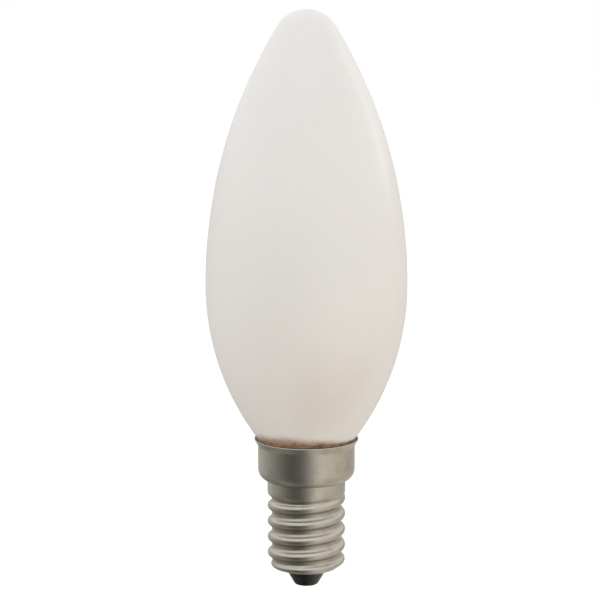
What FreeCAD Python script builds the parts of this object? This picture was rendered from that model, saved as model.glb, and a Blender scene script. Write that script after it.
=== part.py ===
import FreeCAD, Part
import math
import os
import Sketcher
from FreeCAD import Base, Placement, Rotation, Vector

# A white candle-shaped lamp bulb on a 14 mm Edison screw cap, in millimetres.
# The origin is the lowest point of the centre contact and +Z runs up the axis to the glass tip.
# Heights are measured up from the origin, and each round piece is a half section turned about Z.
SIZES = {
    # glass
    "overall_length": 100.9,
    "bulb_diameter": 35.0,
    "belly_height": 53.65,
    "nose_radius": 5.85,
    "neck_clearance": 2.0,
    "neck_fillet": 3.0,
    "neck_end_height": 20.75,
    "neck_roll_width": 1.5,
    "stem_diameter": 5.2,
    "pinch_height": 26.0,
    "exhaust_diameter": 2.6,
    "exhaust_tip_height": 14.5,
    # cap shell, drawn from one sheet
    "sheet_thickness": 0.28,
    "flare_width": 0.65,
    "rim_height": 26.65,
    "rim_round": 0.12,
    "flare_height": 1.25,
    "skirt_diameter": 17.0,
    "skirt_foot_height": 21.3,
    "shoulder_radius": 2.1,
    "thread_major_diameter": 13.7,
    "thread_minor_diameter": 12.1,
    "thread_pitch": 2.822,
    "thread_crest_height": 10.33,
    "thread_top_height": 17.3,
    "thread_run_in": 2.6,
    "thread_run_out": 2.2,
    "collar_drop": 0.7,
    "foot_height": 3.4,
    "foot_radius": 1.8,
    "mouth_diameter": 9.6,
    # black glass insulator
    "insulator_gap": 0.03,
    "insulator_top_height": 6.8,
    "cone_base_height": 3.25,
    "cone_base_diameter": 7.5,
    "face_height": 0.3,
    "face_diameter": 4.1,
    "face_fillet": 0.5,
    "funnel_diameter": 5.0,
    # centre contact and its solder
    "contact_diameter": 3.0,
    "contact_face_height": 0.24,
    "contact_thickness": 0.3,
    "collar_diameter": 1.9,
    "collar_height": 1.4,
    "contact_bore": 1.2,
    "seat_gap": 0.02,
    "solder_diameter": 2.3,
    "solder_plug_height": 1.1,
    "lead_end_height": 0.5,
    # basing cement
    "cement_floor_height": 22.0,
    "cement_underlap": 0.5,
    "crown_height": 0.8,
    "crown_inset": 0.4,
    "crown_radius": 0.5,
    # leads and side solder
    "lead_diameter": 0.2,
    "lead_pitch_diameter": 3.9,
    "lead_bend_radius": 1.2,
    "lead_gap": 0.35,
    "lead_rise_gap": 0.62,
    "lead_clearance": 0.25,
    "rim_gap": 0.17,
    "rim_bend_radius": 0.26,
    "lead_overhang": 0.1,
    "centre_bend_height": 12.5,
    "centre_end_height": 8.4,
    "side_azimuth": 115.0,
    "centre_azimuth": 295.0,
    "bead_diameter": 1.9,
    "bead_inset": 0.4,
    "bead_drop": 0.2,
}
# Sizes that follow from those above. The glass is as wide as the skirt where it leaves the rim.
DERIVED = {
    "rim_diameter": "skirt_diameter + 2 * flare_width",
    "neck_diameter": "skirt_diameter - 2 * neck_clearance",
    "flare_mouth_diameter": "neck_diameter - 2 * neck_roll_width",
    "cement_inner_diameter": "neck_diameter - 2 * cement_underlap",
    "belly_overhang": "(bulb_diameter - skirt_diameter) / 2",
    "lower_flank_radius": "belly_overhang / 2 + (belly_height - rim_height) ^ 2 / (2 * belly_overhang)",
    "lower_flank_axis": "bulb_diameter / 2 - lower_flank_radius",
    "lead_rise_radius": "neck_diameter / 2 + lead_rise_gap",
    "lead_reach": "lead_rise_radius - lead_clearance - lower_flank_axis",
    "lead_rise_height": "belly_height - sqrt(lower_flank_radius ^ 2 - lead_reach ^ 2)",
}

# How finely the rolled thread is shaped, and how far its rolled-in foot turns, in degrees
POINTS_PER_TURN = 24
POINTS_PER_PITCH = 12
FOOT_TURN = 130
# Two edges nearer than this are at the same place
SAME_PLACE = 0.01

doc = FreeCAD.newDocument("candle_bulb")
sheet = doc.addObject("Spreadsheet::Sheet", "Dim")
cells = {**SIZES, **{alias: f"={rule}" for alias, rule in DERIVED.items()}}
for row, (alias, content) in enumerate(cells.items(), start=1):
    sheet.set(f"A{row}", alias)
    sheet.set(f"B{row}", str(content))
    sheet.setAlias(f"B{row}", alias)
doc.recompute()


def number(expression):
    """The value of an expression on the sheet's sizes."""
    return float(sheet.evalExpression(expression))


def origin_plane(body, role):
    return next(f for f in body.Origin.OriginFeatures if f.Role == role)


def new_sketch(body, name, role="XZ_Plane"):
    sketch = body.newObject("Sketcher::SketchObject", name)
    sketch.AttachmentSupport = [(origin_plane(body, role), "")]
    sketch.MapMode = "FlatFace"
    return sketch


def tie(sketch, kind, target, expression):
    """Adds a dimension whose value follows an expression on the sheet."""
    value = number(expression)
    if kind in ("DistanceX", "DistanceY"):
        place = Sketcher.Constraint(kind, -1, 1, *target, value)
    else:
        place = Sketcher.Constraint(kind, *target, value)
    index = sketch.addConstraint(place)
    sketch.setExpression(f"Constraints[{index}]", expression)


def pin_point(sketch, target, x, y):
    """Holds a point at two expressions; x of "0" puts it on the axis."""
    if x == "0":
        sketch.addConstraint(Sketcher.Constraint("PointOnObject", *target, -2))
    elif x:
        tie(sketch, "DistanceX", target, x)
    if y:
        tie(sketch, "DistanceY", target, y)


def arc_between(start, end, radius, turn):
    """The arc under half a circle from start to end, turning left (1) or right (-1)."""
    chord = end - start
    rise = math.sqrt(max(radius**2 - chord.Length**2 / 4, 0.0))
    side = Vector(-chord.y, chord.x, 0).normalize() * turn
    centre = (start + end) / 2 + side * rise
    first, last = (start, end) if turn > 0 else (end, start)
    angles = [math.atan2(p.y - centre.y, p.x - centre.x) for p in (first, last)]
    return Part.ArcOfCircle(Part.Circle(centre, Vector(0, 0, 1), radius), *angles)


def draw_outline(sketch, steps):
    """Draws a closed outline. A step ends an edge at a point, and may say how that edge runs:
    at: expressions of the end point, either of which may be None where a tangent settles it
    near: the end point's numbers, for a point that is settled by tangents
    radius, turn: an arc's radius and side; free_radius: the arc's radius where tangents settle it
    level, on_axis: the height of an arc's centre, or that it lies on the axis
    tangent: the edge leaves the one before it smoothly."""
    steps = [step for step in steps if step]
    points = []
    for step in steps:
        near = step.get("near")
        points.append(Vector(*near, 0) if near else Vector(*(number(e) for e in step["at"]), 0))
    ends = []
    for index, step in enumerate(steps):
        start, end = points[index - 1], points[index]
        radius = step.get("radius")
        size = number(radius) if radius else step.get("free_radius")
        if size:
            edge = sketch.addGeometry(arc_between(start, end, size, step["turn"]))
            ends.append((edge, 1, 2) if step["turn"] > 0 else (edge, 2, 1))
        else:
            edge = sketch.addGeometry(Part.LineSegment(start, end))
            ends.append((edge, 1, 2))
    for index, step in enumerate(steps):
        edge, first, last = ends[index]
        before, _, before_last = ends[index - 1]
        joint = "Tangent" if step.get("tangent") else "Coincident"
        sketch.addConstraint(Sketcher.Constraint(joint, before, before_last, edge, first))
        if step.get("at"):
            pin_point(sketch, (edge, last), *step["at"])
        if step.get("radius"):
            tie(sketch, "Radius", (edge,), step["radius"])
        if step.get("level"):
            tie(sketch, "DistanceY", (edge, 3), step["level"])
        if step.get("on_axis"):
            sketch.addConstraint(Sketcher.Constraint("PointOnObject", edge, 3, -2))


def turned(name, steps):
    """A body made by turning a half section about the Z axis."""
    body = doc.addObject("PartDesign::Body", name)
    sketch = new_sketch(body, f"{name}_section")
    draw_outline(sketch, steps)
    revolution = body.newObject("PartDesign::Revolution", f"{name}_turn")
    revolution.Profile = sketch
    revolution.ReferenceAxis = (sketch, ["V_Axis"])
    revolution.Angle = 360
    return body


def combine(kind, name, base, tool):
    """Part::Cut, Part::Fuse or Part::Common of two objects."""
    result = doc.addObject(f"Part::{kind}", name)
    result.Base = base
    result.Tool = tool
    return result


def bent_wire(name, corners):
    """A round wire swept along straight runs joined by bends, in its body's XZ plane.
    A corner is its two expressions and its bend radius; the first and last have no radius."""
    body = doc.addObject("PartDesign::Body", name)
    path = new_sketch(body, f"{name}_path")
    spots = [Vector(number(x), number(y), 0) for x, y, _ in corners]
    trims = [0.0] * len(corners)
    for index in range(1, len(corners) - 1):
        arrive = (spots[index] - spots[index - 1]).normalize()
        leave = (spots[index + 1] - spots[index]).normalize()
        half_turn = arrive.getAngle(leave) / 2
        trims[index] = number(corners[index][2]) * math.tan(half_turn)
    runs = []
    for index in range(len(corners) - 1):
        along = (spots[index + 1] - spots[index]).normalize()
        start = spots[index] + along * trims[index]
        end = spots[index + 1] - along * trims[index + 1]
        runs.append((path.addGeometry(Part.LineSegment(start, end)), start, end))
    pin_point(path, (runs[0][0], 1), *corners[0][:2])
    pin_point(path, (runs[-1][0], 2), *corners[-1][:2])
    for index, (x, y, radius) in enumerate(corners[1:-1], start=1):
        (before, run_start, bend_start), (after, bend_end, _) = runs[index - 1], runs[index]
        turn = math.copysign(1, (bend_start - run_start).cross(bend_end - bend_start).z)
        bend = path.addGeometry(arc_between(bend_start, bend_end, number(radius), turn))
        first, last = (1, 2) if turn > 0 else (2, 1)
        path.addConstraint(Sketcher.Constraint("Tangent", before, 2, bend, first))
        path.addConstraint(Sketcher.Constraint("Tangent", bend, last, after, 1))
        tie(path, "Radius", (bend,), radius)
        corner = path.addGeometry(Part.Point(spots[index]), True)
        pin_point(path, (corner, 1), x, y)
        path.addConstraint(Sketcher.Constraint("PointOnObject", corner, 1, before))
        path.addConstraint(Sketcher.Constraint("PointOnObject", corner, 1, after))
    section = new_sketch(body, f"{name}_round", "XY_Plane")
    section.AttachmentOffset = Placement(Vector(0, 0, spots[0].y), Rotation())
    section.setExpression(".AttachmentOffset.Base.z", corners[0][1])
    circle = Part.Circle(Vector(spots[0].x, 0, 0), Vector(0, 0, 1), number("Dim.lead_diameter / 2"))
    section.addGeometry(circle)
    tie(section, "DistanceX", (0, 3), corners[0][0])
    section.addConstraint(Sketcher.Constraint("PointOnObject", 0, 3, -1))
    tie(section, "Radius", (0,), "Dim.lead_diameter / 2")
    pipe = body.newObject("PartDesign::AdditivePipe", f"{name}_pipe")
    pipe.Profile = section
    pipe.Spine = path
    return body


def turn_about_axis(body, azimuth):
    body.Placement = Placement(Vector(), Rotation(Vector(0, 0, 1), number(azimuth)))
    body.setExpression(".Placement.Rotation.Angle", f"{azimuth} * 1deg")


def round_edge(body, name, diameter, height, radius):
    """Rounds the round edge of a body that has a given diameter and height."""
    doc.recompute()
    feature = body.Tip
    wide, level = number(f"{diameter} / 2"), number(height)
    for index, edge in enumerate(feature.Shape.Edges, start=1):
        box = edge.BoundBox
        misses = (box.ZLength, abs(box.ZMax - level), abs(box.XMax - wide))
        if max(misses) < SAME_PLACE:
            fillet = body.newObject("PartDesign::Fillet", name)
            fillet.Base = (feature, [f"Edge{index}"])
            fillet.Radius = number(radius)
            fillet.setExpression("Radius", radius)
            return
    raise RuntimeError(f"{name} found no edge to round")


def glass_envelope():
    """The sealed bulb as one piece: nose, two flanks meeting at the belly, neck rolled in to the
    flared foot of its stem, and the sealed tip of its exhaust tube."""
    belly = number("Dim.bulb_diameter / 2")
    belly_height = number("Dim.belly_height")
    nose = number("Dim.nose_radius")
    nose_centre = Vector(0, number("Dim.overall_length") - nose, 0)
    rise = nose_centre.y - belly_height
    upper = (rise**2 + belly**2 - nose**2) / (2 * (belly - nose))
    upper_centre = Vector(belly - upper, belly_height, 0)
    nose_join = nose_centre + (nose_centre - upper_centre).normalize() * nose
    lower = number("Dim.lower_flank_radius")
    lower_centre = Vector(belly - lower, belly_height, 0)
    fillet = number("Dim.neck_fillet")
    fillet_x = number("Dim.neck_diameter / 2") + fillet
    drop = math.sqrt((lower + fillet) ** 2 - (fillet_x - lower_centre.x) ** 2)
    fillet_centre = Vector(fillet_x, belly_height - drop, 0)
    fillet_join = fillet_centre + (lower_centre - fillet_centre).normalize() * fillet
    neck = "Dim.neck_diameter / 2"
    exhaust = "Dim.exhaust_diameter / 2"
    rim_radius = "(Dim.neck_diameter - Dim.flare_mouth_diameter) / 4"
    rim_top = f"Dim.neck_end_height + {rim_radius}"
    return turned("glass_envelope", [
        {"at": ("0", "Dim.exhaust_tip_height")},
        {"at": (exhaust, f"Dim.exhaust_tip_height + {exhaust}"), "radius": exhaust, "turn": 1},
        {"at": (exhaust, "Dim.pinch_height")},
        {"at": ("Dim.stem_diameter / 2", "Dim.pinch_height")},
        {"at": ("Dim.flare_mouth_diameter / 2", rim_top)},
        {"at": (neck, rim_top), "free_radius": number(rim_radius), "turn": 1, "level": rim_top},
        {"at": (neck, None), "near": (number(neck), fillet_centre.y)},
        {"near": (fillet_join.x, fillet_join.y), "radius": "Dim.neck_fillet", "turn": -1,
         "tangent": True},
        {"at": ("Dim.bulb_diameter / 2", "Dim.belly_height"), "radius": "Dim.lower_flank_radius",
         "turn": 1, "tangent": True, "level": "Dim.belly_height"},
        {"near": (nose_join.x, nose_join.y), "free_radius": upper, "turn": 1, "tangent": True},
        {"at": ("0", "Dim.overall_length"), "radius": "Dim.nose_radius", "turn": 1,
         "tangent": True, "on_axis": True},
    ])


def groove_depth(along, inset):
    """How far the thread lies below its crest, at a distance along the axis from a crest.
    The section is two tangent arcs of one radius, which a wall of even thickness turns into a
    tighter crest and a wider root."""
    pitch = number("Dim.thread_pitch")
    depth = number("(Dim.thread_major_diameter - Dim.thread_minor_diameter) / 2")
    radius = pitch**2 / (16 * depth) + depth / 4
    crest, root = radius - inset, radius + inset
    offset = abs((along + pitch / 2) % pitch - pitch / 2)
    if offset <= crest * pitch / (4 * radius):
        return crest - math.sqrt(crest**2 - offset**2)
    return depth - root + math.sqrt(root**2 - (pitch / 2 - offset) ** 2)


def ease(share):
    """Rises smoothly from 0 to 1, level at both ends."""
    share = min(max(share, 0.0), 1.0)
    return share**3 * (share * (6 * share - 15) + 10)


def threaded_core(name, inset, top):
    """A solid plug of the threaded sleeve and its rolled-in foot, set in from the outer skin.
    Its skin is a surface through rings of points, closed round the axis. The right-handed groove
    fades out below the shoulder and above the foot."""
    pitch = number("Dim.thread_pitch")
    major = number("Dim.thread_major_diameter / 2")
    crest_height = number("Dim.thread_crest_height")
    top_height, run_in = number("Dim.thread_top_height"), number("Dim.thread_run_in")
    curl, run_out = number("Dim.foot_radius"), number("Dim.thread_run_out")
    curl_height = number("Dim.foot_height") + curl
    foot = curl_height - curl * math.pi / 2
    end = curl_height - curl * math.radians(FOOT_TURN)
    row_count = math.ceil((top - end) / pitch * POINTS_PER_PITCH) + 1

    def skin_point(column, row):
        angle = 2 * math.pi * column / POINTS_PER_TURN
        length = end + (top - end) * row / (row_count - 1)
        fade = ease((top_height - length) / run_in) * ease((length - foot) / run_out)
        from_crest = length - crest_height - pitch * column / POINTS_PER_TURN
        sunk = inset + fade * groove_depth(from_crest, inset)
        bend = max(curl_height - length, 0.0) / curl
        radius = major - curl + (curl - sunk) * math.cos(bend)
        height = max(length, curl_height) - (curl - sunk) * math.sin(bend)
        return Vector(radius * math.cos(angle), radius * math.sin(angle), height)

    def curve_through(points, closed=False):
        curve = Part.BSplineCurve()
        count = len(points) + 1 if closed else len(points)
        curve.interpolate(Points=points, PeriodicFlag=closed, Parameters=[float(k) for k in range(count)])
        return curve

    rings = [curve_through([skin_point(i, j) for i in range(POINTS_PER_TURN)], True)
             for j in range(row_count)]
    lines = [curve_through([ring.getPole(k) for ring in rings]) for k in range(1, rings[0].NbPoles + 1)]
    surface = Part.BSplineSurface()
    surface.buildFromPolesMultsKnots(
        [line.getPoles() for line in lines],
        rings[0].getMultiplicities(), lines[0].getMultiplicities(),
        rings[0].getKnots(), lines[0].getKnots(), True, False, 3, 3)
    skin = surface.toShape()
    faces = [skin]
    for edge in skin.Edges:
        if edge.isClosed() and edge.BoundBox.ZLength < SAME_PLACE:
            lid = Part.Face(Part.Wire(edge))
            if (lid.normalAt(0, 0).z > 0) != (lid.CenterOfMass.z > curl_height):
                lid.reverse()
            faces.append(lid)
    core = doc.addObject("Part::Feature", name)
    core.Shape = Part.Solid(Part.Shell(faces))
    return core


def upper_cap(name, inset, top):
    """A filled form of the shoulder, skirt and flared rim, set in from the outer skin."""
    skirt = f"Dim.skirt_diameter / 2 - {inset}"
    rim = f"Dim.rim_diameter / 2 - {inset}"
    crease = "Dim.rim_height - Dim.flare_height"
    shoulder = f"Dim.shoulder_radius - {inset}"
    centre = "Dim.skirt_diameter / 2 - Dim.shoulder_radius"
    base = f"Dim.skirt_foot_height - ({shoulder})"
    return turned(name, [
        {"at": ("0", base)},
        {"at": (centre, base)},
        {"at": (skirt, "Dim.skirt_foot_height"), "radius": shoulder, "turn": 1},
        {"at": (skirt, crease)},
        {"at": (rim, "Dim.rim_height")},
        {"at": (rim, top)} if top != "Dim.rim_height" else None,
        {"at": ("0", top)},
    ])


def cap_shell():
    """The brass shell: outer form less inner form, open at the rim and at the foot."""
    wall = number("Dim.sheet_thickness")
    core_top = number("Dim.skirt_foot_height - Dim.collar_drop")
    cap_outer = upper_cap("cap_outer", "0", "Dim.rim_height")
    round_edge(cap_outer, "rim_edge", "Dim.rim_diameter", "Dim.rim_height", "Dim.rim_round")
    cap_inner = upper_cap("cap_inner", "Dim.sheet_thickness", "Dim.rim_height + Dim.sheet_thickness")
    outer = combine("Fuse", "shell_outer", cap_outer, threaded_core("thread_outer", 0.0, core_top))
    inner = combine("Fuse", "shell_inner", cap_inner, threaded_core("thread_inner", wall, core_top))
    mouth = doc.addObject("Part::Cylinder", "shell_mouth")
    mouth.setExpression("Radius", "Dim.mouth_diameter / 2")
    mouth.setExpression("Height", "Dim.foot_radius + Dim.foot_height / 2")
    mouth.setExpression(".Placement.Base.z", "Dim.foot_height / 2")
    hollow = combine("Fuse", "shell_hollow", inner, mouth)
    return combine("Cut", "cap_shell", outer, hollow)


def cap_insulator():
    """The moulded black glass: a plug in the foot of the shell, and the cone below it that
    carries the contact. A funnel inside leads the centre wire to the contact."""
    bore = "Dim.collar_diameter / 2 + Dim.seat_gap"
    recess = "Dim.contact_diameter / 2 + Dim.seat_gap"
    seat = "Dim.contact_face_height + Dim.contact_thickness + Dim.seat_gap"
    neck = "Dim.mouth_diameter / 2 - Dim.insulator_gap"
    waist = "Dim.thread_minor_diameter / 2 - Dim.sheet_thickness - Dim.insulator_gap"
    collar_top = "Dim.contact_face_height + Dim.collar_height + Dim.contact_thickness"
    body = turned("cap_insulator", [
        {"at": (bore, seat)},
        {"at": (recess, seat)},
        {"at": (recess, "Dim.face_height")},
        {"at": ("Dim.face_diameter / 2", "Dim.face_height")},
        {"at": ("Dim.cone_base_diameter / 2", "Dim.cone_base_height")},
        {"at": (neck, "Dim.foot_height + Dim.sheet_thickness / 2")},
        {"at": (neck, "Dim.foot_height + Dim.sheet_thickness + Dim.insulator_gap")},
        {"at": (waist, "Dim.foot_height + Dim.foot_radius")},
        {"at": (waist, "Dim.insulator_top_height")},
        {"at": ("Dim.funnel_diameter / 2", "Dim.insulator_top_height")},
        {"at": (bore, collar_top)},
    ])
    round_edge(body, "face_round", "Dim.face_diameter", "Dim.face_height", "Dim.face_fillet")
    return body


def contact_eyelet():
    """The centre contact: a disc let into the insulator's face, with a tube up its bore."""
    collar_top = "Dim.contact_face_height + Dim.collar_height + Dim.contact_thickness"
    return turned("contact_eyelet", [
        {"at": ("Dim.contact_bore / 2", "Dim.contact_face_height")},
        {"at": ("Dim.contact_diameter / 2", "Dim.contact_face_height")},
        {"at": ("Dim.contact_diameter / 2", "Dim.contact_face_height + Dim.contact_thickness")},
        {"at": ("Dim.collar_diameter / 2", "Dim.contact_face_height + Dim.contact_thickness")},
        {"at": ("Dim.collar_diameter / 2", collar_top)},
        {"at": ("Dim.contact_bore / 2", collar_top)},
    ])


def contact_solder():
    """Solder that fills the contact's bore round the wire's end and domes over its face."""
    wide = number("Dim.solder_diameter / 2")
    dome = number("Dim.contact_face_height")
    plug = "Dim.contact_bore / 2 - Dim.seat_gap"
    wire = "Dim.lead_diameter / 2 + Dim.seat_gap"
    top = "Dim.contact_face_height + Dim.solder_plug_height"
    return turned("contact_solder", [
        {"at": ("0", "0")},
        {"at": ("Dim.solder_diameter / 2", "Dim.contact_face_height"), "turn": 1, "on_axis": True,
         "free_radius": (wide**2 + dome**2) / (2 * dome)},
        {"at": (plug, "Dim.contact_face_height")},
        {"at": (plug, top)},
        {"at": (wire, top)},
        {"at": (wire, "Dim.lead_end_height - Dim.seat_gap")},
        {"at": ("0", "Dim.lead_end_height - Dim.seat_gap")},
    ])


def side_lead_wire():
    """From the pinch, under the neck's end, up through the cement and over the rim."""
    gap = "Dim.neck_end_height - Dim.lead_diameter / 2 - Dim.lead_gap"
    rise = "Dim.lead_rise_radius"
    crossing = "Dim.rim_diameter / 2 - Dim.sheet_thickness - Dim.rim_gap"
    over = "Dim.rim_height + Dim.lead_diameter"
    slant = f"({crossing} - {rise}) / (Dim.rim_height - Dim.lead_rise_height)"
    body = bent_wire("side_lead_wire", [
        ("Dim.lead_pitch_diameter / 2", "Dim.pinch_height", None),
        ("Dim.lead_pitch_diameter / 2", gap, "Dim.lead_bend_radius"),
        (rise, gap, "Dim.lead_bend_radius"),
        (rise, "Dim.lead_rise_height", "Dim.lead_bend_radius"),
        (f"{crossing} + {slant} * Dim.lead_diameter", over, "Dim.rim_bend_radius"),
        ("Dim.rim_diameter / 2 + Dim.lead_overhang", over, None),
    ])
    turn_about_axis(body, "Dim.side_azimuth")
    return body


def centre_lead_wire():
    """From the pinch, past the exhaust tip, through the funnel into the contact's bore."""
    body = bent_wire("centre_lead_wire", [
        ("Dim.lead_pitch_diameter / 2", "Dim.pinch_height", None),
        ("Dim.lead_pitch_diameter / 2", "Dim.centre_bend_height", "Dim.lead_bend_radius"),
        ("0", "Dim.centre_end_height", "Dim.lead_bend_radius"),
        ("0", "Dim.lead_end_height", None),
    ])
    turn_about_axis(body, "Dim.centre_azimuth")
    return body


def cement_ring(glass, lead):
    """Basing cement between the neck and the skirt, squeezed up to a crown round the glass."""
    wall = "Dim.skirt_diameter / 2 - Dim.sheet_thickness"
    lip = "Dim.rim_diameter / 2 - Dim.sheet_thickness"
    inner = "Dim.cement_inner_diameter / 2"
    blank = turned("cement_blank", [
        {"at": (inner, "Dim.cement_floor_height")},
        {"at": (wall, "Dim.cement_floor_height")},
        {"at": (wall, "Dim.rim_height - Dim.flare_height")},
        {"at": (lip, "Dim.rim_height")},
        {"at": ("Dim.rim_diameter / 2 - Dim.crown_inset", "Dim.rim_height + Dim.crown_height"),
         "radius": "Dim.crown_radius", "turn": 1},
        {"at": (inner, "Dim.rim_height + Dim.crown_height")},
    ])
    seated = combine("Cut", "cement_seated", blank, glass)
    return combine("Cut", "cement_ring", seated, lead)


def side_solder(lead):
    """A bead of solder at the back of the rim, over the end of the side wire."""
    centre = "(Dim.rim_diameter / 2 - Dim.bead_inset)"
    bead = doc.addObject("Part::Sphere", "bead_whole")
    bead.setExpression("Radius", "Dim.bead_diameter / 2")
    bead.setExpression(".Placement.Base.x", f"{centre} * cos(Dim.side_azimuth * 1deg)")
    bead.setExpression(".Placement.Base.y", f"{centre} * sin(Dim.side_azimuth * 1deg)")
    bead.setExpression(".Placement.Base.z", "Dim.rim_height - Dim.bead_drop")
    bed = upper_cap("bead_bed", "0", "Dim.rim_height + Dim.bead_diameter")
    outside = combine("Cut", "bead_outside", bead, bed)
    return combine("Cut", "side_solder", outside, lead)


glass = glass_envelope()
side_lead = side_lead_wire()
nodes = {
    "glass_envelope": glass,
    "cap_shell": cap_shell(),
    "cement_ring": cement_ring(glass, side_lead),
    "cap_insulator": cap_insulator(),
    "contact_eyelet": contact_eyelet(),
    "contact_solder": contact_solder(),
    "side_lead_wire": side_lead,
    "side_solder": side_solder(side_lead),
    "centre_lead_wire": centre_lead_wire(),
}
doc.recompute()

for item in doc.Objects:
    faults = [state for state in item.State if state in ("Invalid", "Error")]
    if faults:
        raise RuntimeError(f"{item.Label} is {', '.join(faults)}")
for node, item in nodes.items():
    shape = item.Shape
    if shape.isNull() or not shape.isValid() or len(shape.Solids) != 1:
        raise RuntimeError(f"{node} isn't one sound solid")
    item.Label = node

os.makedirs("parts", exist_ok=True)
for node, item in nodes.items():
    item.Shape.exportStep(f"parts/{node}.step")
    box = item.Shape.BoundBox
    print(f"{node}: {item.Shape.Volume:.2f} mm3, z {box.ZMin:.2f} to {box.ZMax:.2f}, "
          f"width {box.XLength:.2f}")
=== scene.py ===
import bpy
import numpy as np
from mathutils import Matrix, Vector


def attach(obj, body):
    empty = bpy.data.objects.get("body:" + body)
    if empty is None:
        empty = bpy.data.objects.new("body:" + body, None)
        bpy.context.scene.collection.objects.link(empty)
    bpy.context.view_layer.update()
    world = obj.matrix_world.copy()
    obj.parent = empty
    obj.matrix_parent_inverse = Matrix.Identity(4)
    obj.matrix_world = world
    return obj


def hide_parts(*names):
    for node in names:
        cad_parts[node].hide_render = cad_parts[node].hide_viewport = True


# A white candle bulb on a small screw cap. Sizes in the dictionaries are millimetres,
# heights are measured up from the centre contact, and the axis is Z.
mm = 0.001

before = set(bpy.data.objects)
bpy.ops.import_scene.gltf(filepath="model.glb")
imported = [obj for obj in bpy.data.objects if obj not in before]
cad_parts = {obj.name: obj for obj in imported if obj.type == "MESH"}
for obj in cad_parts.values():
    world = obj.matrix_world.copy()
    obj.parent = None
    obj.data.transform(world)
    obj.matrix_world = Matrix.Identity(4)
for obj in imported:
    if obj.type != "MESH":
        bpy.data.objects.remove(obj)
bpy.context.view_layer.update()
print("frame loaded:", len(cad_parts), "nodes")


# Surfaces

def arcPoints(centre, radius, first, last, count):
    # a point of the arc is the centre plus the radius times (cosine, sine) of its angle in degrees
    angle = np.radians(np.linspace(first, last, count))
    return np.column_stack([centre[0] + radius * np.cos(angle), centre[1] + radius * np.sin(angle)])


def linePoints(start, end, count):
    # a point of the line is start plus an even share of the way to the end
    share = np.linspace(0, 1, count)[:, None]
    return (1 - share) * np.array(start, float) + share * np.array(end, float)


def joinRuns(*runs):
    # runs follow each other; a run's first point is dropped where it repeats the last one
    points = np.vstack(runs)
    step = np.hypot(*np.diff(points, axis=0).T)
    return points[np.concatenate([[True], step > 1e-6])]


def ringAngles(columns):
    # angle j is 2 pi j / columns
    return 2 * np.pi * np.arange(columns) / columns


def turnedGrid(profile, columns):
    # row i, column j: radius r(i) and height z(i) at the ring's angle j
    angle = ringAngles(columns)
    radius, height = profile[:, :1], profile[:, 1:]
    return np.stack([radius * np.cos(angle), radius * np.sin(angle), height + 0 * angle], axis=2)


def placeObject(name, data):
    placed = bpy.data.objects.new(name, data)
    bpy.context.scene.collection.objects.link(placed)
    return placed


def placeMesh(name, points, faces, material, **marks):
    # points in metres; marks are numbers that the mesh carries at its points
    mesh = bpy.data.meshes.new(name)
    mesh.from_pydata(points.tolist(), [], faces)
    for key, values in marks.items():
        mesh.attributes.new(key, "FLOAT", "POINT").data.foreach_set("value", values)
    mesh.materials.append(material)
    return placeObject(name, mesh)


def surfacePiece(name, grid, material, creases, loop=True, **marks):
    # quads between neighbouring rows and columns; columns close round the axis, and rows either
    # close on themselves or end in one point on the axis
    rows, columns = grid.shape[:2]
    points = grid.reshape(-1, 3) * mm
    index = np.arange(rows * columns).reshape(rows, columns)
    across = np.roll(index, -1, axis=1)
    if loop:
        above, aboveAcross = np.roll(index, -1, axis=0), np.roll(across, -1, axis=0)
        quads = np.stack([index, across, aboveAcross, above], axis=2).reshape(-1, 4)
        fans = np.empty((0, 3), int)
    else:
        quads = np.stack([index[:-1], across[:-1], across[1:], index[1:]], axis=2).reshape(-1, 4)
        points = np.vstack([points, points[:columns].mean(axis=0), points[-columns:].mean(axis=0)])
        first = np.full(columns, rows * columns)
        fans = np.vstack([np.column_stack([first, across[0], index[0]]),
                          np.column_stack([first + 1, index[-1], across[-1]])])
    # six times the volume inside the quads, which is below zero when they face inwards
    a, b, c, d = (points[quads[:, k]] for k in range(4))
    volume = np.einsum("ij,ij->", np.cross(a, b), c) + np.einsum("ij,ij->", np.cross(a, c), d)
    turn = -1 if volume < 0 else 1
    piece = placeMesh(name, points, quads[:, ::turn].tolist() + fans[:, ::turn].tolist(), material, **marks)
    piece.data.polygons.foreach_set("use_smooth", [True] * len(piece.data.polygons))
    piece.data.set_sharp_from_angle(angle=np.radians(creases))
    piece.data.update()
    return piece


# Materials

class Value:
    # one output of a node; sums of values read as plain sums and add their own Math nodes
    def __init__(self, socket):
        self.socket = socket

    def node(self, kind, settings, inputs, output=0):
        return addNode(self.socket.node.id_data, kind, settings, inputs, output)

    def sum(self, operation, left, right, clamp=False):
        return self.node("ShaderNodeMath", {"operation": operation, "use_clamp": clamp},
                         {0: left, 1: right})

    def __add__(self, other):
        return self.sum("ADD", self, other)

    def __radd__(self, other):
        return self.sum("ADD", other, self)

    def __sub__(self, other):
        return self.sum("SUBTRACT", self, other)

    def __rsub__(self, other):
        return self.sum("SUBTRACT", other, self)

    def __mul__(self, other):
        return self.sum("MULTIPLY", self, other)

    def __rmul__(self, other):
        return self.sum("MULTIPLY", other, self)

    def held(self):
        # kept from 0 to 1
        return self.sum("ADD", self, 0.0, clamp=True)

    def swing(self, width):
        # 0 to 1 becomes a spread of the given width round 0
        return (self - 0.5) * width

    def between(self, low, high):
        # 0 at low and 1 at high, eased at both ends
        return self.node("ShaderNodeMapRange", {"interpolation_type": "SMOOTHSTEP"},
                         {"Value": self, "From Min": low, "From Max": high})

    def blend(self, first, second):
        # the first colour where this value is 0, the second where it is 1
        return self.node("ShaderNodeMix", {"data_type": "RGBA"}, {0: self, 6: first, 7: second}, 2)


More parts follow.
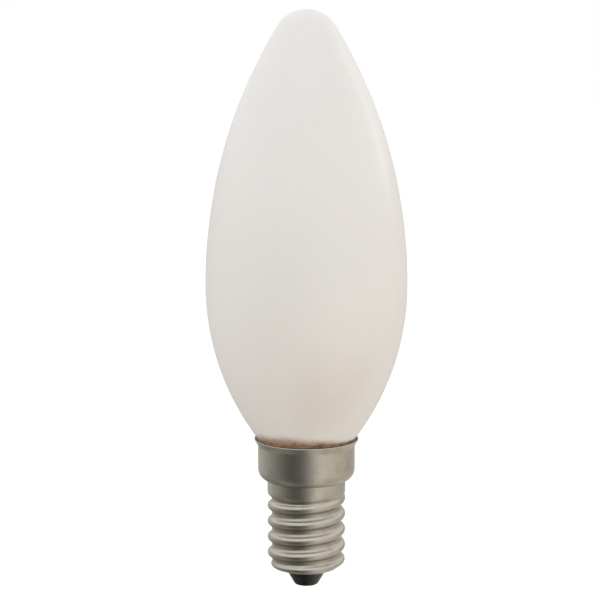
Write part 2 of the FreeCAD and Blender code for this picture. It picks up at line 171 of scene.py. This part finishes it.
def fillSocket(socket, value):
    # a value is linked, a colour is given its alpha, and anything else is set as it is
    if isinstance(value, Value):
        socket.node.id_data.links.new(value.socket, socket)
    elif socket.type == "RGBA":
        socket.default_value = (*value, 1)
    else:
        socket.default_value = value


def addNode(tree, kind, settings, inputs, output=0):
    made = tree.nodes.new(kind)
    for key, value in settings.items():
        setattr(made, key, value)
    for key, value in inputs.items():
        fillSocket(made.inputs[key], value)
    return Value(made.outputs[output])


def markValue(tree, name):
    # a mark that the mesh carries at its points
    return addNode(tree, "ShaderNodeAttribute", {"attribute_name": name}, {}, "Fac")


class Finish:
    # a material with one Principled shader, and the patterns that its sockets take
    def __init__(self, name, **constants):
        self.material = bpy.data.materials.new(name)
        self.material.use_nodes = True
        self.tree = self.material.node_tree
        self.shader = self.tree.nodes["Principled BSDF"]
        self.place = self.node("ShaderNodeTexCoord", {}, {}, "Object")
        self.set(**constants)

    def node(self, kind, settings, inputs, output=0):
        return addNode(self.tree, kind, settings, inputs, output)

    def set(self, **sockets):
        # Base_Color stands for the socket Base Color
        for key, value in sockets.items():
            fillSocket(self.shader.inputs[key.replace("_", " ")], value)

    def part(self, axis):
        # one coordinate of the place, in millimetres
        return self.node("ShaderNodeSeparateXYZ", {}, {0: self.place}, axis) * (1 / mm)

    def noise(self, size, detail=3.0, roughness=0.5, stretch=(1, 1, 1), shift=(0, 0, 0)):
        # even noise from 0 to 1 whose features are about size millimetres wide
        scale = tuple(1 / mm / size / share for share in stretch)
        place = self.node("ShaderNodeMapping", {}, {"Vector": self.place, "Scale": scale, "Location": shift})
        return self.node("ShaderNodeTexNoise", {}, {
            "Vector": place, "Scale": 1.0, "Detail": detail, "Roughness": roughness})

    def bump(self, height, distance):
        # height 0 to 1 stands for a step of distance millimetres
        self.set(Normal=self.node("ShaderNodeBump", {}, {
            "Strength": 1.0, "Distance": distance * mm, "Height": height}))


# In the looks, an entry called noise holds what a noise is made with, edges are the noise levels
# at which a patch starts and is full, and a spread is how far a noise moves what it changes.

opalLook = {
    "refraction": 1.5, "coat": 0.3, "coatRoughness": 0.22,
    "scatter": 0.2, "scatterTint": (1.0, 0.85, 0.7), "scatterDepth": 2.0,
    "roughness": 0.42, "roughnessNoise": {"size": 0.6, "detail": 2}, "roughnessSpread": 0.08,
    "white": (0.86, 0.845, 0.83), "cooler": (0.845, 0.84, 0.835),
    "cloudNoise": {"size": 18, "detail": 2}, "cloudEdges": (0.3, 0.7),
    # a painted warm shade low on the front: the places at which it starts and is full
    "paintedShadeTint": (0.815, 0.765, 0.725), "paintedShadeHeights": (48, 33), "paintedShadeDepths": (-9.0, -13.5),
    "paintedShadeSides": (-4.5, 1.5),
    # a brown stain above the cement, which reaches higher in front and on the left
    "neckTint": (0.42, 0.29, 0.185), "neckBurn": (0.27, 0.155, 0.085), "neckHeights": (27.0, 25.4),
    "neckLean": (0.08, 0.2), "coarseNoise": {"size": 3.5}, "coarseSpread": 0.9,
    "fineNoise": {"size": 1.1, "detail": 2}, "fineSpread": 0.5,
    "burnNoise": {"size": 1.5, "shift": (3, 1, 0)}, "burnEdges": (0.42, 0.62),
    "pebbleNoise": {"size": 0.25, "detail": 2}, "pebbleDepth": 0.002,
}


def opalGlass(look):
    finish = Finish("opal_glass", IOR=look["refraction"], Subsurface_Weight=look["scatter"],
                    Subsurface_Radius=look["scatterTint"], Subsurface_Scale=look["scatterDepth"] * mm,
                    Coat_Weight=look["coat"], Coat_Roughness=look["coatRoughness"],
                    Coat_IOR=look["refraction"])
    side, depth, height = (finish.part(axis) for axis in range(3))
    cloud = finish.noise(**look["cloudNoise"]).between(*look["cloudEdges"])
    # painted warm shade: a darker, warmer patch low on the front of the glass
    low = height.between(*look["paintedShadeHeights"]) * depth.between(*look["paintedShadeDepths"])
    low = low * side.between(*look["paintedShadeSides"])
    body = low.blend(cloud.blend(look["white"], look["cooler"]), look["paintedShadeTint"])
    lean = side * look["neckLean"][0] + depth * look["neckLean"][1]
    ragged = height + lean + finish.noise(**look["coarseNoise"]).swing(look["coarseSpread"])
    ragged = ragged + finish.noise(**look["fineNoise"]).swing(look["fineSpread"])
    neck = ragged.between(*look["neckHeights"])
    burn = finish.noise(**look["burnNoise"]).between(*look["burnEdges"])
    rough = finish.noise(**look["roughnessNoise"]).swing(look["roughnessSpread"])
    finish.set(Base_Color=neck.blend(body, burn.blend(look["neckTint"], look["neckBurn"])),
               Roughness=rough + look["roughness"])
    finish.bump(finish.noise(**look["pebbleNoise"]), look["pebbleDepth"])
    return finish.material


brassLook = {
    "nickel": (0.53, 0.505, 0.45), "dull": (0.40, 0.37, 0.31), "warm": (0.55, 0.485, 0.38),
    "roughness": 0.29, "dullRoughness": 0.10, "drawnSpread": 0.06,
    "drawnNoise": {"size": 0.09, "stretch": (60, 60, 1)},  # fine marks that run round the axis
    "stainNoise": {"size": 1.8, "detail": 4, "roughness": 0.62}, "stainEdges": (0.45, 0.75),
    # shares of random stains and of painted shade in the thread's grooves
    "stainShare": 0.55, "grooveShadeShare": 0.45,
    "rubbedNoise": {"size": 2.6, "shift": (7, 3, 1)}, "rubbedEdges": (0.5, 0.75), "rubbedShare": 0.4,
    "drawnBump": 0.35, "waveNoise": {"size": 0.7, "detail": 2}, "waveBump": 0.65, "bumpDepth": 0.006,
}


def platedBrass(look):
    finish = Finish("plated_brass", Metallic=1.0)
    drawn = finish.noise(**look["drawnNoise"])
    stain = finish.noise(**look["stainNoise"]).between(*look["stainEdges"])
    # dull: stains at random, plus painted shade that deepens with the thread's groove
    dull = (stain * look["stainShare"] + markValue(finish.tree, "groove") * look["grooveShadeShare"]).held()
    rubbed = finish.noise(**look["rubbedNoise"]).between(*look["rubbedEdges"]) * look["rubbedShare"]
    finish.set(Base_Color=rubbed.blend(dull.blend(look["nickel"], look["dull"]), look["warm"]),
               Roughness=look["roughness"] + dull * look["dullRoughness"]
               + drawn.swing(look["drawnSpread"]))
    wave = finish.noise(**look["waveNoise"])
    finish.bump(drawn * look["drawnBump"] + wave * look["waveBump"], look["bumpDepth"])
    return finish.material


cementLook = {
    "light": (0.30, 0.19, 0.105), "dark": (0.11, 0.06, 0.032), "lightEdges": (0.35, 0.65),
    "patchNoise": {"size": 1.6}, "patchShare": 0.6,
    "grainNoise": {"size": 0.35, "detail": 4, "roughness": 0.6}, "grainShare": 0.4,
    "roughness": 0.6, "roughnessSpread": 0.3, "grainDepth": 0.06,
}


def basingCement(look):
    finish = Finish("basing_cement")
    grain = finish.noise(**look["grainNoise"])
    patch = finish.noise(**look["patchNoise"])
    light = (patch * look["patchShare"] + grain * look["grainShare"]).between(*look["lightEdges"])
    finish.set(Base_Color=light.blend(look["dark"], look["light"]),
               Roughness=look["roughness"] + grain.swing(look["roughnessSpread"]))
    finish.bump(grain, look["grainDepth"])
    return finish.material


blackLook = {
    "refraction": 1.52, "mirror": 0.25, "dark": (0.006, 0.005, 0.005), "light": (0.014, 0.012, 0.011),
    "swirlNoise": {"size": 1.4}, "swirlEdges": (0.4, 0.7),
    "roughness": 0.16, "smearNoise": {"size": 0.8}, "smearEdges": (0.45, 0.7), "smearRoughness": 0.18,
    "waveNoise": {"size": 0.9, "detail": 2}, "waveDepth": 0.02,
}


def blackGlass(look):
    finish = Finish("black_glass", IOR=look["refraction"], Specular_IOR_Level=look["mirror"])
    swirl = finish.noise(**look["swirlNoise"]).between(*look["swirlEdges"])
    smear = finish.noise(**look["smearNoise"]).between(*look["smearEdges"])
    finish.set(Base_Color=swirl.blend(look["dark"], look["light"]),
               Roughness=look["roughness"] + smear * look["smearRoughness"])
    finish.bump(finish.noise(**look["waveNoise"]), look["waveDepth"])
    return finish.material


solderLook = {
    "dark": (0.52, 0.52, 0.51), "light": (0.68, 0.68, 0.67), "frostNoise": {"size": 0.25},
    "roughness": 0.28, "frostEdges": (0.4, 0.7), "frostRoughness": 0.2,
    "waveNoise": {"size": 0.4, "detail": 2}, "waveDepth": 0.02,
}


def solderTin(look):
    finish = Finish("solder", Metallic=1.0)
    frost = finish.noise(**look["frostNoise"])
    finish.set(Base_Color=frost.blend(look["dark"], look["light"]),
               Roughness=look["roughness"] + frost.between(*look["frostEdges"]) * look["frostRoughness"])
    finish.bump(finish.noise(**look["waveNoise"]), look["waveDepth"])
    return finish.material


bareLook = {
    "stainNoise": {"size": 0.5}, "stainEdges": (0.4, 0.65), "roughness": 0.3, "roughnessSpread": 0.2,
    "scratchNoise": {"size": 0.15, "detail": 2}, "scratchDepth": 0.004,
    "contact": {"bright": (0.70, 0.55, 0.30), "dull": (0.45, 0.33, 0.18), "stretch": (1, 1, 1)},
    "wire": {"bright": (0.62, 0.44, 0.34), "dull": (0.40, 0.27, 0.2), "stretch": (1, 1, 8)},
}


def bareMetal(name, look, bright, dull, stretch):
    finish = Finish(name, Metallic=1.0)
    stain = finish.noise(**look["stainNoise"], stretch=stretch)
    finish.set(Base_Color=stain.between(*look["stainEdges"]).blend(bright, dull),
               Roughness=look["roughness"] + stain.swing(look["roughnessSpread"]))
    finish.bump(finish.noise(**look["scratchNoise"], stretch=stretch), look["scratchDepth"])
    return finish.material


finishes = {
    "opal_glass": opalGlass(opalLook),
    "plated_brass": platedBrass(brassLook),
    "basing_cement": basingCement(cementLook),
    "black_glass": blackGlass(blackLook),
    "solder": solderTin(solderLook),
    "contact_brass": bareMetal("contact_brass", bareLook, **bareLook["contact"]),
    "lead_wire": bareMetal("lead_wire", bareLook, **bareLook["wire"]),
}
print("finishes made:", ", ".join(finishes))


# Glass bulb

glassShape = {
    "length": 100.9, "bellyRadius": 17.5, "bellyHeight": 53.65, "noseRadius": 5.85,
    "flankRadius": 45.0, "neckRadius": 6.5, "neckFillet": 3.0, "neckEnd": 20.75,
    "mouthRadius": 5.0, "stemRadius": 2.6, "pinchHeight": 26.0,
    "exhaustRadius": 1.3, "exhaustTip": 14.5, "columns": 192, "creases": 50,
    "noseAngle": 89, "exhaustAngle": -85,  # the end arcs stop short of the axis, where fans close them
}


def glassProfile(s):
    # arcs that meet tangent: nose, upper flank, lower flank and neck, then the rolled-in stem;
    # the last number of each run is its count of points
    belly, bellyHeight, nose, lower = s["bellyRadius"], s["bellyHeight"], s["noseRadius"], s["flankRadius"]
    noseHeight = s["length"] - nose
    rise = noseHeight - bellyHeight
    upper = (rise ** 2 + belly ** 2 - nose ** 2) / (2 * (belly - nose))
    noseJoin = np.degrees(np.arctan2(rise, upper - belly))
    neck, fillet = s["neckRadius"], s["neckFillet"]
    filletX = neck + fillet
    across = filletX - (belly - lower)
    drop = np.sqrt((lower + fillet) ** 2 - across ** 2)
    neckJoin = np.degrees(np.arctan2(drop, across))
    neckTop = bellyHeight - drop
    roll = (neck - s["mouthRadius"]) / 2
    rollHeight = s["neckEnd"] + roll
    stem, pinch, exhaust = s["stemRadius"], s["pinchHeight"], s["exhaustRadius"]
    exhaustFoot = s["exhaustTip"] + exhaust
    return joinRuns(
        arcPoints((0, noseHeight), nose, s["noseAngle"], noseJoin, 30),
        arcPoints((belly - upper, bellyHeight), upper, noseJoin, 0, 90),
        arcPoints((belly - lower, bellyHeight), lower, 0, -neckJoin, 70),
        arcPoints((filletX, neckTop), fillet, 180 - neckJoin, 180, 12),
        linePoints((neck, neckTop), (neck, rollHeight), 4),
        arcPoints((neck - roll, rollHeight), roll, 0, -180, 12),
        linePoints((s["mouthRadius"], rollHeight), (stem, pinch), 8),
        linePoints((stem, pinch), (exhaust, pinch), 3),
        linePoints((exhaust, pinch), (exhaust, exhaustFoot), 6),
        arcPoints((0, exhaustFoot), exhaust, 0, s["exhaustAngle"], 10))


glass = surfacePiece("glass_bulb", turnedGrid(glassProfile(glassShape), glassShape["columns"]),
                     finishes["opal_glass"], glassShape["creases"], loop=False)
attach(glass, "root")
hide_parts("glass_envelope")
print("glass bulb made")


# Cap shell

shellShape = {
    "sheet": 0.28, "rimRadius": 9.15, "rimHeight": 26.65, "lipAngles": (157, 23), "flareHeight": 1.25,
    "creaseEase": (0.05, 0.12), "skirtRadius": 8.5, "skirtFoot": 21.3, "shoulderRadius": 2.1,
    "sleeveGap": 0.02, "majorRadius": 6.85, "minorRadius": 6.05, "pitch": 2.822, "crestHeight": 10.33,
    "threadTop": 17.45, "runIn": 1.9, "runOut": 2.2, "footHeight": 3.4, "footRadius": 1.8,
    "mouthRadius": 4.8, "columns": 240, "outerRows": 170, "innerRows": 90, "creases": 38,
}


def grooveDepth(along, inset, s):
    # two tangent arcs: near the crest the depth is c - sqrt(c^2 - x^2), near the root it is
    # h - r + sqrt(r^2 - (P/2 - x)^2), where x is the distance from the nearest crest; c and r are
    # P^2 / (16 h) + h / 4, less and more by the inset
    pitch, depth = s["pitch"], s["majorRadius"] - s["minorRadius"]
    radius = pitch ** 2 / (16 * depth) + depth / 4
    crest, root = radius - inset, radius + inset
    x = np.abs((along + pitch / 2) % pitch - pitch / 2)
    nearCrest = crest - np.sqrt(np.maximum(crest ** 2 - x ** 2, 0))
    nearRoot = depth - root + np.sqrt(np.maximum(root ** 2 - (pitch / 2 - x) ** 2, 0))
    return np.where(x <= crest * pitch / (4 * radius), nearCrest, nearRoot)


def eased(share):
    # 6 t^5 - 15 t^4 + 10 t^3, level at both ends
    t = np.clip(share, 0, 1)
    return t ** 3 * (t * (6 * t - 15) + 10)


def threadGrid(length, inset, s):
    # height follows the length down the sleeve until the foot, where the skin bends in round the
    # foot's arc; the groove's depth moves the skin along its own normal
    angle = ringAngles(s["columns"])
    length = length[:, None] + 0 * angle
    curl, curlHeight = s["footRadius"], s["footHeight"] + s["footRadius"]
    foot = curlHeight - curl * np.pi / 2
    fade = eased((s["threadTop"] - length) / s["runIn"]) * eased((length - foot) / s["runOut"])
    groove = fade * grooveDepth(length - s["crestHeight"] - s["pitch"] * angle / (2 * np.pi), inset, s)
    bend = np.maximum(curlHeight - length, 0) / curl
    reach = curl - inset - groove
    radius = s["majorRadius"] - curl + reach * np.cos(bend)
    height = np.maximum(length, curlHeight) - reach * np.sin(bend)
    grid = np.stack([radius * np.cos(angle), radius * np.sin(angle), height], axis=2)
    return grid, groove / (s["majorRadius"] - s["minorRadius"])


def shellSkin(inset, rows, s):
    # from the rim down: flare, skirt, shoulder arc to where it meets the sleeve, thread, foot
    shoulder = s["shoulderRadius"] - inset
    centre = (s["skirtRadius"] - s["shoulderRadius"], s["skirtFoot"])
    sleeve = s["majorRadius"] - inset
    meet = -np.degrees(np.arccos((sleeve - centre[0]) / shoulder))
    edge = s["sheet"] / 2
    crease = s["rimHeight"] - s["flareHeight"]
    skirt = s["skirtRadius"] - inset
    easeOut, easeUp = s["creaseEase"]
    upper = joinRuns(
        linePoints((s["rimRadius"] - inset, s["rimHeight"] - edge), (skirt + easeOut, crease + easeUp), 8),
        linePoints((skirt + easeOut, crease + easeUp), (skirt, crease - easeUp), 3),
        linePoints((skirt, crease - easeUp), (skirt, s["skirtFoot"]), 12),
        arcPoints(centre, shoulder, 0, meet, 16))
    curl = s["footRadius"]
    bendEnd = np.arccos((s["mouthRadius"] - s["majorRadius"] + curl) / (curl - inset))
    lengths = np.linspace(upper[-1, 1] - s["sleeveGap"], s["footHeight"] + curl - curl * bendEnd, rows)
    sleeveGrid, groove = threadGrid(lengths, inset, s)
    upperGrid = turnedGrid(upper, s["columns"])
    marks = np.vstack([np.zeros(upperGrid.shape[:2]), groove])
    return np.vstack([upperGrid, sleeveGrid]), marks


def shellPiece(s):
    # the rim's round edge, the outer skin down and the inner skin back up close one loop
    outer, outerMarks = shellSkin(0.0, s["outerRows"], s)
    inner, innerMarks = shellSkin(s["sheet"], s["innerRows"], s)
    edge = s["sheet"] / 2
    lipCentre = (s["rimRadius"] - edge, s["rimHeight"] - edge)
    lip = turnedGrid(arcPoints(lipCentre, edge, *s["lipAngles"], 6), s["columns"])
    grid = np.vstack([lip, outer, inner[::-1]])
    marks = np.vstack([np.zeros(lip.shape[:2]), outerMarks, innerMarks[::-1]])
    return surfacePiece("screw_cap", grid, finishes["plated_brass"], s["creases"],
                        groove=marks.reshape(-1))


shell = shellPiece(shellShape)
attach(shell, "root")
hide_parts("cap_shell")
print("screw cap made")


# Cement line between the glass and the rim

cementShape = {
    "innerRadius": 6.0, "wallRadius": 8.22, "lipRadius": 8.87, "floor": 22.0, "wallTop": 25.4,
    "lipHeight": 26.6, "gap": 0.02, "crownRadius": 8.99, "crownHeight": 27.22, "crownRound": 0.32,
    "crownAngles": (-58, 75), "crownInset": 0.35, "dish": (7.4, 26.4), "throat": (6.45, 24.0),
    # the sines of the uneven edge: waves round the ring, share and start
    "unevenness": 0.07, "sines": ((5, 0.5, 1), (11, 0.3, 2.4), (23, 0.35, 0.7)), "fadeHeight": 0.5,
    "columns": 240, "creases": 60,
}


def cementPiece(s):
    # a closed section carried round the axis; the crown's edge wanders by a sum of sines
    foot, wall = (s["wallRadius"], s["floor"]), (s["wallRadius"], s["wallTop"])
    crown = (s["crownRadius"] - s["crownRound"], (s["lipHeight"] + s["crownHeight"]) / 2)
    section = joinRuns(
        linePoints(foot, wall, 4),
        linePoints(wall, (s["lipRadius"] - s["gap"], s["lipHeight"]), 4),
        arcPoints(crown, s["crownRound"], *s["crownAngles"], 9),
        linePoints((s["crownRadius"] - s["crownInset"], s["crownHeight"] - s["gap"]), s["dish"], 5),
        linePoints(s["dish"], s["throat"], 4),
        linePoints(s["throat"], (s["innerRadius"], s["floor"]), 3))
    grid = turnedGrid(section, s["columns"])
    angle = ringAngles(s["columns"])
    wander = sum(share * np.sin(waves * angle + start) for waves, share, start in s["sines"])
    fade = eased((section[:, 1] - s["lipHeight"]) / s["fadeHeight"])[:, None]
    grid[:, :, 2] += s["unevenness"] * wander * fade
    return surfacePiece("cement_line", grid, finishes["basing_cement"], s["creases"])


cement = cementPiece(cementShape)
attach(cement, "root")
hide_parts("cement_ring")
print("cement line made")


# Black glass insulator

insulatorShape = {
    "boreRadius": 0.97, "recessRadius": 1.52, "seat": 0.56, "faceHeight": 0.3, "faceRadius": 2.05,
    "faceRound": 0.5, "recessEdge": 0.03, "coneRadius": 3.75, "coneBase": 3.25,
    "coneEase": ((-0.1, -0.17), (0.12, 0.04)), "neckRadius": 4.77, "footHeight": 3.54,
    "plugFoot": 3.71, "waistRadius": 5.74, "waistBase": 5.2, "top": 6.8, "funnelRadius": 2.5,
    "funnelFoot": 1.94, "columns": 160, "creases": 32,
}


def insulatorPiece(s):
    # a closed section turned round the axis: bore, recess, face, cone, foot, plug and funnel
    slope = np.degrees(np.arctan2(s["coneBase"] - s["faceHeight"], s["coneRadius"] - s["faceRadius"]))
    reach = s["faceRound"] * np.tan(np.radians(slope / 2))
    roundCentre = (s["faceRadius"] - reach, s["faceHeight"] + s["faceRound"])
    funnelFoot, seat = (s["boreRadius"], s["funnelFoot"]), (s["boreRadius"], s["seat"])
    coneEnd, ledge = ((s["coneRadius"] + out, s["coneBase"] + up) for out, up in s["coneEase"])
    waist, shoulder = (s["waistRadius"], s["waistBase"]), (s["waistRadius"], s["top"])
    funnelTop = (s["funnelRadius"], s["top"])
    section = joinRuns(
        linePoints(funnelFoot, seat, 4),
        linePoints(seat, (s["recessRadius"], s["seat"]), 3),
        linePoints((s["recessRadius"], s["seat"]), (s["recessRadius"], s["faceHeight"] + s["recessEdge"]), 3),
        arcPoints(roundCentre, s["faceRound"], -90, slope - 90, 10),
        linePoints(coneEnd, ledge, 4),
        linePoints(ledge, (s["neckRadius"], s["footHeight"]), 6),
        linePoints((s["neckRadius"], s["plugFoot"]), waist, 4),
        linePoints(waist, shoulder, 3),
        linePoints(shoulder, funnelTop, 4),
        linePoints(funnelTop, funnelFoot, 6))
    return surfacePiece("black_insulator", turnedGrid(section, s["columns"]), finishes["black_glass"],
                        s["creases"])


insulator = insulatorPiece(insulatorShape)
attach(insulator, "root")
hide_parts("cap_insulator")
print("insulator made")


# Small metal parts, which show the frame's own meshes

smallParts = {
    "contact_eyelet": "contact_brass", "contact_solder": "solder", "side_solder": "solder",
    "side_lead_wire": "lead_wire", "centre_lead_wire": "lead_wire",
}

for nodeName, slotName in smallParts.items():
    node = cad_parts[nodeName]
    node.data.materials.clear()
    node.data.materials.append(finishes[slotName])
print("small metal parts finished")


# Camera

cameraSetup = {
    "place": (-1.12, -300, 93.08), "pitchDown": 7.977, "lens": 104.7, "sensor": 36, "clip": (10, 20000),
}

camera = placeObject("camera", bpy.data.cameras.new("camera"))
camera.location = Vector(cameraSetup["place"]) * mm
camera.rotation_euler = (np.radians(90 - cameraSetup["pitchDown"]), 0, 0)
camera.data.lens = cameraSetup["lens"]
camera.data.sensor_width = cameraSetup["sensor"]
camera.data.clip_start, camera.data.clip_end = (distance * mm for distance in cameraSetup["clip"])
bpy.context.scene.camera = camera
bpy.context.scene.view_settings.view_transform = "Standard"


# Backdrop and floor

stageSetup = {
    "floorHeight": -150, "floorSize": 6000, "floorPaint": (0.65, 0.585, 0.50), "floorGlow": 0.6,
    "worldFill": 0.88,
}


def seenDirectly(tree):
    # 1 for rays from the camera, from gloss and through clear things, 0 for light on surfaces
    ray = tree.nodes.new("ShaderNodeLightPath")
    sight = Value(ray.outputs["Is Camera Ray"]) + Value(ray.outputs["Is Glossy Ray"])
    return (sight + Value(ray.outputs["Is Transmission Ray"])).held()


def stageMaterial(name, surface):
    # a material whose output takes the shader that surface makes in its tree
    material = bpy.data.materials.new(name)
    material.use_nodes = True
    tree = material.node_tree
    tree.nodes.clear()
    out = tree.nodes.new("ShaderNodeOutputMaterial")
    fillSocket(out.inputs["Surface"], surface(tree))
    return material


def floorSurface(tree):
    paint = addNode(tree, "ShaderNodeBsdfDiffuse", {}, {"Color": stageSetup["floorPaint"]})
    glow = addNode(tree, "ShaderNodeEmission", {}, {"Strength": seenDirectly(tree) * stageSetup["floorGlow"]})
    return addNode(tree, "ShaderNodeAddShader", {}, {0: paint, 1: glow})


world = bpy.data.worlds.new("backdrop")
bpy.context.scene.world = world
world.use_nodes = True
strength = seenDirectly(world.node_tree) * (1 - stageSetup["worldFill"]) + stageSetup["worldFill"]
backdrop = world.node_tree.nodes["Background"]
fillSocket(backdrop.inputs["Color"], (1, 1, 1))
fillSocket(backdrop.inputs["Strength"], strength)

half, level = stageSetup["floorSize"] / 2, stageSetup["floorHeight"]
floorCorners = np.array([(-half, -half, level), (half, -half, level),
                         (half, half, level), (-half, half, level)]) * mm
floor = placeMesh("floor", floorCorners, [(0, 1, 2, 3)], stageMaterial("floor", floorSurface))


# Card wall

wallSetup = {
    # what shiny metal sees round it: degrees from the viewer's side, to the right, and brightness
    "angles": (-180, -126, -87, -58, -37, -13, 4, 20, 34, 60, 89, 120, 180),
    "tones": (0.62, 0.62, 0.37, 0.18, 0.08, 0.12, 0.30, 0.72, 0.93, 0.86, 0.72, 0.60, 0.62),
    "warmth": (0, 0, 0, 0, 0, 0, 0, 0, 0.2, 1.0, 0.7, 0.2, 0),
    "cool": (1.0, 0.975, 0.93), "warm": (1.0, 0.91, 0.77), "haze": 0.08, "below": 0.75, "centre": 0.22,
    "radius": 560, "inner": 60, "low": -149, "high": 130, "columns": 120,
}


def wallSurface(tree):
    tint = markValue(tree, "warmth").blend(wallSetup["cool"], wallSetup["warm"])
    return addNode(tree, "ShaderNodeEmission", {}, {"Color": tint, "Strength": markValue(tree, "tone")})


def cardWall(s):
    # a round wall on a round card; the tone runs straight between the angles above, and the middle
    # of the card repeats the viewer's half on its far half
    angle = 2 * np.pi * np.arange(s["columns"] + 1) / s["columns"]
    section = ((0, s["low"]), (s["inner"], s["low"]), (s["radius"], s["low"]), (s["radius"], s["high"]))
    points = np.vstack([np.column_stack([radius * np.sin(angle), -radius * np.cos(angle), 0 * angle + height])
                        for radius, height in section]) * mm
    index = np.arange(len(points)).reshape(len(section), -1)
    faces = np.stack([index[:-1, :-1], index[:-1, 1:], index[1:, 1:], index[1:, :-1]], axis=2).reshape(-1, 4)
    turn = (np.degrees(angle) + 180) % 360 - 180
    wall = np.interp(turn, s["angles"], s["tones"])
    mirrored = np.sign(turn) * np.minimum(np.abs(turn), 180 - np.abs(turn))
    card = s["haze"] + s["below"] * np.interp(mirrored, s["angles"], s["tones"])
    tone = np.concatenate([0 * angle + s["centre"], card, wall, wall])
    warmth = np.tile(np.interp(turn, s["angles"], s["warmth"]), len(section))
    wallPiece = placeMesh("card_wall", points, faces.tolist(), stageMaterial("card_wall", wallSurface),
                          tone=tone, warmth=warmth)
    for ray in ("camera", "diffuse", "shadow", "transmission"):  # only gloss sees it
        setattr(wallPiece, "visible_" + ray, False)


cardWall(wallSetup)


# Lights

lightSetup = {
    "top_light": {"place": (0, -350, 650), "width": 700, "height": 500, "power": 0.25},
    "rear_strip": {"place": (430, 275, 250), "width": 40, "height": 280, "power": 0.1,
                   "aim": (0, 0, 75), "only": glass},
    "left_fill": {"place": (-440, -170, 110), "width": 300, "height": 300, "power": 0.22,
                  "shines": False},
    "low_fill": {"place": (420, -240, -60), "width": 220, "height": 160, "power": 0.26,
                 "colour": (1, 0.9, 0.76), "aim": (0, 0, 30), "shines": False},
}


def softLight(name, place, width, height, power, colour=(1, 1, 1), aim=(0, 0, 50), shines=True, only=None):
    lamp = bpy.data.lights.new(name, "AREA")
    lamp.shape, lamp.size, lamp.size_y = "RECTANGLE", width * mm, height * mm
    lamp.energy, lamp.color = power, colour
    holder = placeObject(name, lamp)
    holder.location = Vector(place) * mm
    holder.rotation_euler = (Vector(aim) - Vector(place)).to_track_quat("-Z", "Y").to_euler()
    holder.visible_glossy = shines  # whether metal and glaze mirror it
    if only:  # the one piece that this light falls on
        lit = bpy.data.collections.new(name + "_lit")
        lit.objects.link(only)
        holder.light_linking.receiver_collection = lit


for lightName, setup in lightSetup.items():
    softLight(lightName, **setup)
print("stage set")
